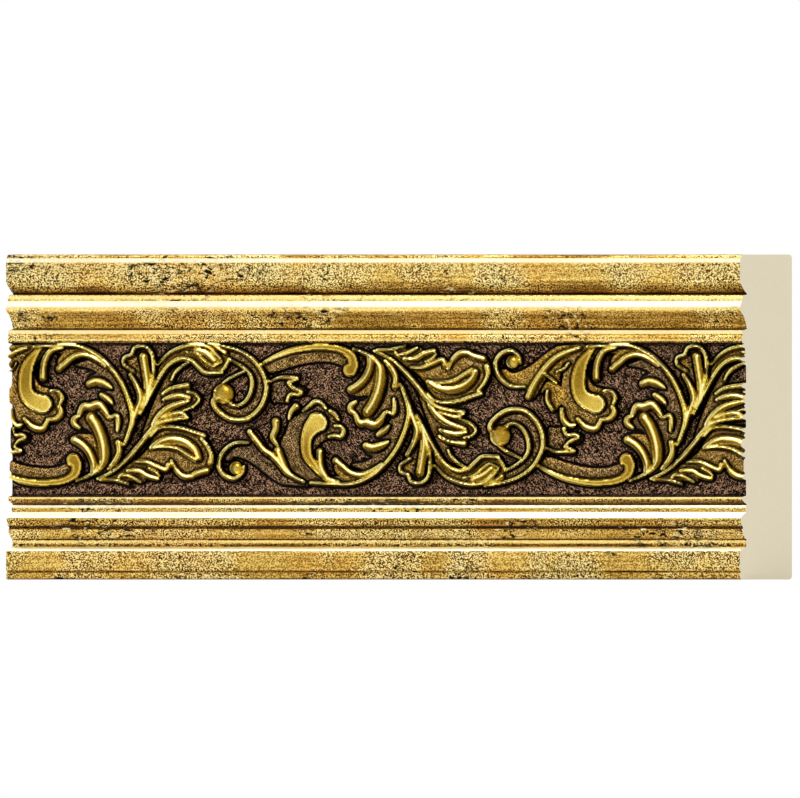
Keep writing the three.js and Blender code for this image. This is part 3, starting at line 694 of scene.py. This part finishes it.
def frieze_grid():
    """Points and paint of the carved frieze, row by row from its top to its bottom."""
    random = np.random.default_rng(SEED)
    carving = Carving()
    wide, high = np.meshgrid(
        np.linspace(-LENGTH / 2, LENGTH / 2, FRIEZE_COLUMNS + 1),
        np.linspace(FRIEZE_TOP, FRIEZE_BOTTOM, FRIEZE_ROWS + 1),
    )
    x = (wide + LENGTH / 2 - FIRST_UNIT_OFFSET) / STEP
    y = (high - AXIS_HEIGHT) / STEP
    x, y = carving.snapped(x, y, CELL / STEP)
    wide = x * STEP - LENGTH / 2 + FIRST_UNIT_OFFSET
    high = y * STEP + AXIS_HEIGHT

    # heights over the ground: leaves with a groove beside each ridge, ridges, and the roughness of each
    ridge, edge = carving.relief(x, y)
    leaf, leaf_depth, kept = carving.leaves(x, y)
    near = np.clip(1 - edge / GAP_STEPS, 0, 1) * (edge > GAP_START)
    leaf = leaf * (1 - GAP_CUT * ease(near))
    on_ridge = ridge > leaf
    grain = np.where(on_ridge, RIDGE_GRAIN, np.where(leaf_depth > 0, LEAF_GRAIN, GROUND_GRAIN))
    height = np.maximum(leaf, ridge) + grain * random.uniform(-1, 1, x.shape)
    height = height + np.where(on_ridge, 0, GROUND_WAVE) * smooth_noise(random, x.shape, WAVE_CELLS)

    # depths behind the foremost plane, with the walls at the top and the bottom of the frieze
    from_wall = np.minimum(FRIEZE_TOP - high, high - FRIEZE_BOTTOM)
    ground = WALL_TOP_DEPTH + (FRIEZE_DEPTH - WALL_TOP_DEPTH) * ease(from_wall / WALL_RUN)
    depth = np.maximum(ground - height, LEAST_DEPTH)
    depth[0] = UPPER_RAIL[-1][1]
    depth[-1] = LOWER_RAIL[0][1]

    # gold lies where the slanted rays meet the surface, so it is looked up where each point appears
    slip = (SLANT - LEAN) * (depth - CREST_DEPTH) / STEP
    edge, tone = carving.gilding(x + slip, y)
    shade = shade_of(edge, leaf_depth, kept, from_wall)

    from_end = LENGTH / 2 - np.abs(wide)
    wide = wide - LEAN * (depth - CREST_DEPTH) * ease(from_end / LEAN_RUN)
    paint = {"tone": tone, "edge": edge, "depth": leaf_depth, "kept": kept, "shade": shade}
    return np.stack([wide, depth - THICKNESS, high], axis=-1), paint


def station_points(rail, top):
    """Heights, depths and tones down one rail, with long runs divided."""
    result = [(top - rail[0][0], *rail[0][1:])]
    for before, after in zip(rail, rail[1:]):
        count = max(1, round((after[0] - before[0]) / LONGEST_RUN))
        for i in range(1, count + 1):
            down, depth, tone = (a + (b - a) * i / count for a, b in zip(before, after))
            result.append((top - down, depth, tone))
    return result


def along_rail(section):
    """Points of a section given as heights and depths, repeated along the length."""
    x = np.linspace(-LENGTH / 2, LENGTH / 2, RAIL_COLUMNS + 1)
    return np.array([[(wide, depth - THICKNESS, high) for wide in x] for high, depth in section])


def rail_grid(profile, outer_rows):
    """Points and paint of a rail. Its outer rows, on the top or the bottom face, have no chips."""
    tone = np.array([[tone] for _, _, tone in profile])
    kept = np.zeros_like(tone)
    kept[outer_rows] = 1
    return along_rail([station[:2] for station in profile]), {"tone": tone, "kept": kept, "rail": 1}


def upper_grid():
    half = FACE_HEIGHT / 2
    top_face = [(half, THICKNESS - BACK_CORNER, TOP_FACE_TONE), (half, TOP_FACE_START, TOP_FACE_TONE)]
    return rail_grid(top_face + station_points(UPPER_RAIL, half)[:-1], slice(0, 2))


def lower_grid():
    bottom = -FACE_HEIGHT / 2
    bottom_face = [
        (bottom, BOTTOM_FACE_START, BOTTOM_FACE_TONE),
        (bottom, THICKNESS - BACK_CORNER, BOTTOM_FACE_TONE),
    ]
    return rail_grid(station_points(LOWER_RAIL, FRIEZE_BOTTOM)[1:] + bottom_face, slice(-2, None))


def back_grid():
    """Points and paint of the flat back with its rounded corners, from its top to its bottom."""
    corner = []
    for angle in BACK_ANGLES:
        in_from_top = BACK_CORNER * (1 - math.sin(math.radians(angle)))
        in_from_back = BACK_CORNER * (1 - math.cos(math.radians(angle)))
        corner.append((FACE_HEIGHT / 2 - in_from_top, THICKNESS - in_from_back))
    section = corner + [(-high, depth) for high, depth in reversed(corner)]
    return along_rail(section), dict.fromkeys(ATTRIBUTES, FOAM_TONE) | {"cream": 1}


class Surface:
    """Points, faces and paint gathered from several grids."""

    def __init__(self):
        self.points = []
        self.faces = []
        self.paint = {name: [] for name in ATTRIBUTES}
        self.count = 0

    def put(self, grid):
        """Adds a grid's points and paint, and returns the points' numbers in the grid's shape."""
        points, paint = grid
        shape = points.shape[:2]
        self.points.append(points.reshape(-1, 3))
        for name, values in self.paint.items():
            values.append(np.broadcast_to(paint.get(name, 0), shape).ravel())
        index = np.arange(points[..., 0].size).reshape(shape) + self.count
        self.count += index.size
        return index

    def tile(self, index, flip=False):
        """Fills a grid of numbered points with four-sided faces."""
        a, b = index[:-1, :-1].ravel(), index[:-1, 1:].ravel()
        c, d = index[1:, 1:].ravel(), index[1:, :-1].ravel()
        corners = [a, b, c, d] if flip else [a, d, c, b]
        self.faces.extend(np.stack(corners, 1).tolist())

    def stitch(self, coarse, fine, flip=False):
        """Joins a row of a rail to a row of the frieze, which has COLUMN_RATIO as many columns."""
        for i in range(RAIL_COLUMNS):
            first = i * COLUMN_RATIO
            self.close([coarse[i], *fine[first:first + COLUMN_RATIO + 1], coarse[i + 1]], flip)

    def close(self, ring, flip=False):
        """Adds one face round a ring of numbered points."""
        self.faces.append([int(number) for number in (ring[::-1] if flip else ring)])

    def mesh(self, name):
        """The mesh, whose last two faces are the flat cut ends."""
        mesh = bpy.data.meshes.new(name)
        mesh.from_pydata((np.vstack(self.points) * MM).tolist(), [], self.faces)
        mesh.update()
        for attribute, values in self.paint.items():
            layer = mesh.attributes.new(attribute, "FLOAT", "POINT")
            layer.data.foreach_set("value", np.concatenate(values).astype(np.float32))
        smooth = np.ones(len(self.faces), bool)
        smooth[-2:] = False
        mesh.polygons.foreach_set("use_smooth", smooth)
        for end in mesh.polygons[-2:]:
            end.material_index = 1
        mesh.set_sharp_from_angle(angle=math.radians(SHARP_ANGLE))
        return mesh


def build_moulding():
    surface = Surface()
    upper = surface.put(upper_grid())
    frieze = surface.put(frieze_grid())
    lower = surface.put(lower_grid())
    back = surface.put(back_grid())
    for index in (upper, frieze, lower):
        surface.tile(index)
    surface.stitch(upper[-1], frieze[0])
    surface.stitch(lower[0], frieze[-1], flip=True)
    surface.tile(np.vstack([upper[:1], back, lower[-1:]]), flip=True)
    for side in (0, -1):
        ring = [*upper[:, side], *frieze[:, side], *lower[:, side], *back[::-1, side]]
        surface.close(ring, flip=side == -1)

    mesh = surface.mesh("gilt_moulding")
    mesh.materials.append(gilt_material())
    mesh.materials.append(cream_material())
    piece = bpy.data.objects.new("gilt_moulding", mesh)
    bpy.context.collection.objects.link(piece)
    return piece


def srgb(red, green, blue):
    """Linear colour of an 8-bit colour."""
    shares = (red / 255, green / 255, blue / 255)
    return tuple(((c + 0.055) / 1.055) ** 2.4 if c > 0.04045 else c / 12.92 for c in shares)


class Nodes:
    """Short hand for building a node tree."""

    def __init__(self, tree):
        self.tree = tree
        self.place = None

    def fill(self, socket, value):
        """Links a socket's value, or sets a plain one."""
        if isinstance(value, bpy.types.NodeSocket):
            self.tree.links.new(value, socket)
        else:
            socket.default_value = value

    def add(self, kind, inputs=None, **settings):
        node = self.tree.nodes.new(kind)
        for name, value in settings.items():
            setattr(node, name, value)
        for name, value in (inputs or {}).items():
            self.fill(node.inputs[name], value)
        return node

    def math(self, operation, first, *others, clamp=False):
        """An operation on the first two values, then on its result and the next, and so on."""
        for other in others:
            node = self.add("ShaderNodeMath", {0: first, 1: other}, operation=operation, use_clamp=clamp)
            first = node.outputs[0]
        return first

    def absolute(self, value):
        return self.add("ShaderNodeMath", {0: value}, operation="ABSOLUTE").outputs[0]

    def centred(self, value, gain):
        """A value about 0.5 moved to lie about 0, times a gain."""
        return self.math("MULTIPLY", self.math("SUBTRACT", value, 0.5), gain)

    def span(self, value, start, end):
        """A straight run from 0 to 1 while the value goes from start to end."""
        inputs = {"Value": value, "From Min": start, "From Max": end}
        return self.add("ShaderNodeMapRange", inputs).outputs[0]

    def ramp(self, factor, stops):
        """A ramp through linear colours."""
        node = self.add("ShaderNodeValToRGB", {"Fac": factor})
        elements = node.color_ramp.elements
        while len(elements) < len(stops):
            elements.new(0.5)
        for element, (place, colour) in zip(elements, stops):
            element.position = place
            element.color = (*colour, 1)
        return node.outputs[0]

    def levels(self, factor, stops):
        """A ramp through plain numbers."""
        return self.ramp(factor, [(place, (level,) * 3) for place, level in stops])

    def palette(self, factor, stops):
        """A ramp through 8-bit colours."""
        return self.ramp(factor, [(place, srgb(*colour)) for place, colour in stops])

    def mix(self, factor, a, b, mode="MIX"):
        """A mix of two colours, each a socket or an 8-bit colour."""
        node = self.add("ShaderNodeMix", {0: factor}, data_type="RGBA", blend_type=mode)
        for number, value in ((6, a), (7, b)):
            self.fill(node.inputs[number], (*srgb(*value), 1) if isinstance(value, tuple) else value)
        return node.outputs[2]

    def attribute(self, name):
        return self.add("ShaderNodeAttribute", attribute_name=name).outputs["Fac"]

    def noise(self, scale, detail=2.0, stretch=(1, 1, 1), turn=0.0):
        """Noise in the object's own space, drawn out by a stretch and turned in the face's plane."""
        if self.place is None:
            self.place = self.add("ShaderNodeTexCoord").outputs["Object"]
        inputs = {"Vector": self.place, "Rotation": (0, turn, 0), "Scale": stretch}
        moved = self.add("ShaderNodeMapping", inputs, vector_type="TEXTURE").outputs[0]
        inputs = {"Vector": moved, "Scale": scale, "Detail": detail}
        return self.add("ShaderNodeTexNoise", inputs).outputs["Fac"]


def material(name):
    made = bpy.data.materials.new(name)
    made.use_nodes = True
    return made, Nodes(made.node_tree), made.node_tree.nodes["Principled BSDF"]


def rail_colour(nodes, paint, fine, patches, wide):
    """Leaf that is finely speckled, rougher in patches, with rubbed streaks, black chips and cracks."""
    tone = paint["tone"]
    rough = nodes.levels(patches, ROUGH_LEVELS)
    workable = nodes.levels(tone, WORKABLE_LEVELS)
    speckle = nodes.math("MULTIPLY", nodes.centred(fine, RAIL_SPECKLE), rough, workable)
    streaks = nodes.centred(nodes.noise(STREAK_SCALE, 1.0, STREAK_STRETCH), RAIL_STREAKS)
    streaks = nodes.math("MULTIPLY", streaks, workable)
    worked = nodes.math("ADD", tone, speckle, streaks, nodes.centred(wide, RAIL_DRIFT))
    worked = nodes.math("MINIMUM", worked, nodes.math("MAXIMUM", tone, PALE_LIMIT))
    warm = nodes.math("MULTIPLY", nodes.levels(nodes.noise(WARM_SCALE), WARM_LEVELS), WARMTH)
    gold = nodes.mix(warm, nodes.palette(worked, RAIL_GOLD), WARM_TINT, "MULTIPLY")

    worn = nodes.levels(nodes.noise(WORN_SCALE, 3.0, WORN_STRETCH), WORN_LEVELS)
    flakes = nodes.noise(FLAKE_SCALE, 3.0, FLAKE_STRETCH)
    spark = nodes.math("MULTIPLY", nodes.levels(flakes, SPARK_LEVELS), worn, SPARK_SHARE)
    gold = nodes.mix(spark, gold, SPARK)
    from_middle = nodes.math("SUBTRACT", nodes.noise(CRACK_SCALE, 3.0, CRACK_STRETCH), 0.5)
    broken = nodes.levels(nodes.noise(BREAK_SCALE, 1.0), BREAK_LEVELS)
    cracks = nodes.math("MULTIPLY", nodes.levels(nodes.absolute(from_middle), CRACK_LEVELS), broken)
    chips = nodes.math("MAXIMUM", nodes.levels(flakes, CHIP_LEVELS), cracks)
    bare = nodes.math("SUBTRACT", workable, paint["kept"], clamp=True)
    return nodes.mix(nodes.math("MULTIPLY", chips, worn, bare), gold, CHIP)


def frieze_texture(nodes, fine, wide):
    """Fine speckle over hatching that changes its direction from place to place."""
    hatch = nodes.noise(HATCH_SCALE, 0.0, HATCH_STRETCH, HATCH_TURN)
    cross = nodes.noise(HATCH_SCALE, 0.0, HATCH_STRETCH, CROSS_TURN)
    hatching = nodes.mix(nodes.levels(wide, CROSS_LEVELS), hatch, cross)
    speckle = nodes.centred(fine, GROUND_SPECKLE)
    return nodes.math("ADD", 0.5, speckle, nodes.centred(hatching, GROUND_HATCHING))


def frieze_colour(nodes, paint, gilded, texture, fine, patches):
    """Umber ground, leaves keeping some gold, black outlines of patina and painted shade, and bright
    gilded ridges.
    """
    edge, depth, kept = paint["edge"], paint["depth"], paint["kept"]
    on_leaf = nodes.span(depth, 0.0, 1.0)
    left = nodes.math("ADD", kept, nodes.centred(patches, LEAF_PATCHES), clamp=True)
    leaf = nodes.mix(left, nodes.palette(texture, LEAF_UMBER), nodes.palette(texture, LEAF_GOLD))
    colour = nodes.mix(on_leaf, nodes.palette(texture, GROUND_UMBER), leaf)

    # black outlines round the ridges and at each leaf's foot are patina with painted shade, joined by the
    # painted shade of the ground
    outline = nodes.span(edge, OUTLINE_STEPS, OUTLINE_STEPS - 1)
    outline = nodes.math("SUBTRACT", outline, nodes.math("MULTIPLY", kept, on_leaf, KEPT_OUTLINE_LOSS))
    foot = nodes.span(depth, -OUTLINE_STEPS, 1 - OUTLINE_STEPS)
    foot = nodes.math("MULTIPLY", foot, nodes.span(depth, FOOT_START, 0.0))
    colour = nodes.mix(nodes.math("MAXIMUM", outline, foot, paint["shade"]), colour, OUTLINE)

    bright = nodes.math("ADD", paint["tone"], nodes.centred(fine, CREST_SPECKLE))
    return nodes.mix(gilded, colour, nodes.palette(bright, CREST_GOLD))


def gilt_material():
    made, nodes, shader = material("gilt")
    paint = {name: nodes.attribute(name) for name in ATTRIBUTES}
    fine = nodes.span(nodes.noise(FINE_SCALE, 0.0), *FINE_RANGE)
    patches = nodes.noise(PATCH_SCALE, 3.0)
    wide = nodes.noise(WIDE_SCALE)
    texture = frieze_texture(nodes, fine, wide)
    gilded = nodes.span(paint["edge"], GILT_EDGE, -GILT_EDGE)
    rails = rail_colour(nodes, paint, fine, patches, wide)
    frieze = frieze_colour(nodes, paint, gilded, texture, fine, patches)
    colour = nodes.mix(paint["cream"], nodes.mix(paint["rail"], frieze, rails), CREAM_EDGE)
    burnish = nodes.math("MULTIPLY", nodes.math("MAXIMUM", paint["rail"], gilded), BURNISH)
    inputs = {"Height": texture, "Strength": BUMP_STRENGTH, "Distance": BUMP_DISTANCE}
    bump = nodes.add("ShaderNodeBump", inputs)
    nodes.fill(shader.inputs["Base Color"], colour)
    nodes.fill(shader.inputs["Metallic"], nodes.math("SUBTRACT", 1.0, paint["cream"]))
    nodes.fill(shader.inputs["Roughness"], nodes.math("SUBTRACT", LEAF_ROUGHNESS, burnish))
    nodes.fill(shader.inputs["Normal"], bump.outputs[0])
    return made


def cream_material():
    made, nodes, shader = material("cream_core")
    nodes.fill(shader.inputs["Base Color"], nodes.palette(nodes.noise(FOAM_SCALE), CREAM_CORE))
    shader.inputs["Roughness"].default_value = FOAM_ROUGHNESS
    return made


def add_camera():
    camera = bpy.data.objects.new("camera", bpy.data.cameras.new("camera"))
    bpy.context.collection.objects.link(camera)
    camera.data.type = "ORTHO"
    camera.data.ortho_scale = IMAGE_WIDTH / PIXELS_PER_MM * MM
    holder = bpy.data.objects.new("camera_holder", None)
    bpy.context.collection.objects.link(holder)
    camera.parent = holder
    camera.matrix_parent_inverse = Matrix((
        (1, 0, SLANT, CENTRE[0] * MM + SLANT * CAMERA_DISTANCE),
        (0, 0, -1, -THICKNESS * MM - CAMERA_DISTANCE),
        (0, 1, 0, CENTRE[1] * MM),
        (0, 0, 0, 1),
    ))
    bpy.context.scene.camera = camera


def add_floor():
    mesh = bpy.data.meshes.new("floor")
    z = -FACE_HEIGHT / 2 * MM
    corners = [(x * FLOOR_HALF, y * FLOOR_HALF, z) for x, y in ((-1, -1), (1, -1), (1, 1), (-1, 1))]
    mesh.from_pydata(corners, [], [(0, 1, 2, 3)])
    floor = bpy.data.objects.new("floor", mesh)
    bpy.context.collection.objects.link(floor)
    made, _, shader = material("floor_paint")
    shader.inputs["Base Color"].default_value = FLOOR_COLOUR
    shader.inputs["Roughness"].default_value = FLOOR_ROUGHNESS
    mesh.materials.append(made)


def add_light(name, place, size, power):
    """A rectangular lamp that points to the origin."""
    light = bpy.data.lights.new(name, "AREA")
    light.shape = "RECTANGLE"
    light.size, light.size_y = size
    light.energy = power
    lamp = bpy.data.objects.new(name, light)
    bpy.context.collection.objects.link(lamp)
    lamp.location = place
    lamp.rotation_euler = (-Vector(place)).to_track_quat("-Z", "Y").to_euler()


def add_world():
    """A studio that glows from all sides, seen by the camera as plain white."""
    world = bpy.data.worlds.new("studio")
    bpy.context.scene.world = world
    world.use_nodes = True
    nodes = Nodes(world.node_tree)
    background = world.node_tree.nodes["Background"]
    direction = nodes.add("ShaderNodeTexCoord").outputs["Generated"]
    up = nodes.add("ShaderNodeSeparateXYZ", {"Vector": direction}).outputs["Z"]
    height = nodes.math("ADD", nodes.math("MULTIPLY", up, 0.5), 0.5)
    glow = nodes.levels(height, STUDIO_GLOW)
    seen = nodes.add("ShaderNodeLightPath").outputs["Is Camera Ray"]
    nodes.fill(background.inputs["Color"], nodes.mix(seen, glow, (255, 255, 255)))
    background.inputs["Strength"].default_value = 1.0


add_camera()
piece = build_moulding()
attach(piece, "root")
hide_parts(NODE)
add_floor()
add_light("key", place=(-0.35, -0.5, 0.65), size=(0.5, 0.2), power=5.0)
add_light("fill", place=(0.9, 0.1, 0.25), size=(0.6, 0.6), power=0.4)
add_world()
bpy.context.scene.view_settings.view_transform = "Standard"
